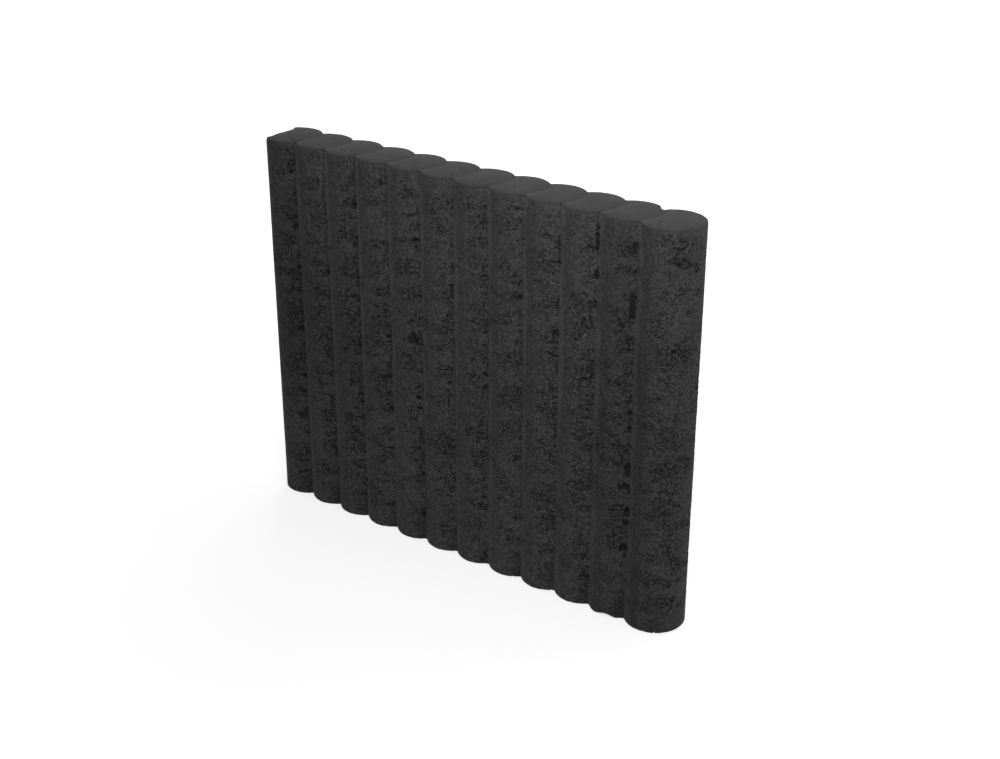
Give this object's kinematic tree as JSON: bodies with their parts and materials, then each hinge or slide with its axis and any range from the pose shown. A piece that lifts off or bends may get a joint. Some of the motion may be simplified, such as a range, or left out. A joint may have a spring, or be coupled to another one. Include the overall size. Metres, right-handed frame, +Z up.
{
  "type": "concrete kerb stone",
  "caption": "Upright palisade kerb stone of pressed concrete: a scalloped slab of joined round posts with crowned heads, a round nose at one end and a hollow for the next nose at the other.",
  "frame": {"origin": "middle of the bed that the stone stands on", "axes": "+X along the length, towards the round nose; +Y through the thickness; +Z up, towards the crowned heads"},
  "size_m": [0.5, 0.06, 0.4],
  "materials": {
    "concrete": "anthracite dyed pressed concrete, fine-grained and matt, with open pores beside the valleys"
  },
  "bodies": {
    "root": {"kerb_stone": "concrete"}
  },
  "joints": []
}
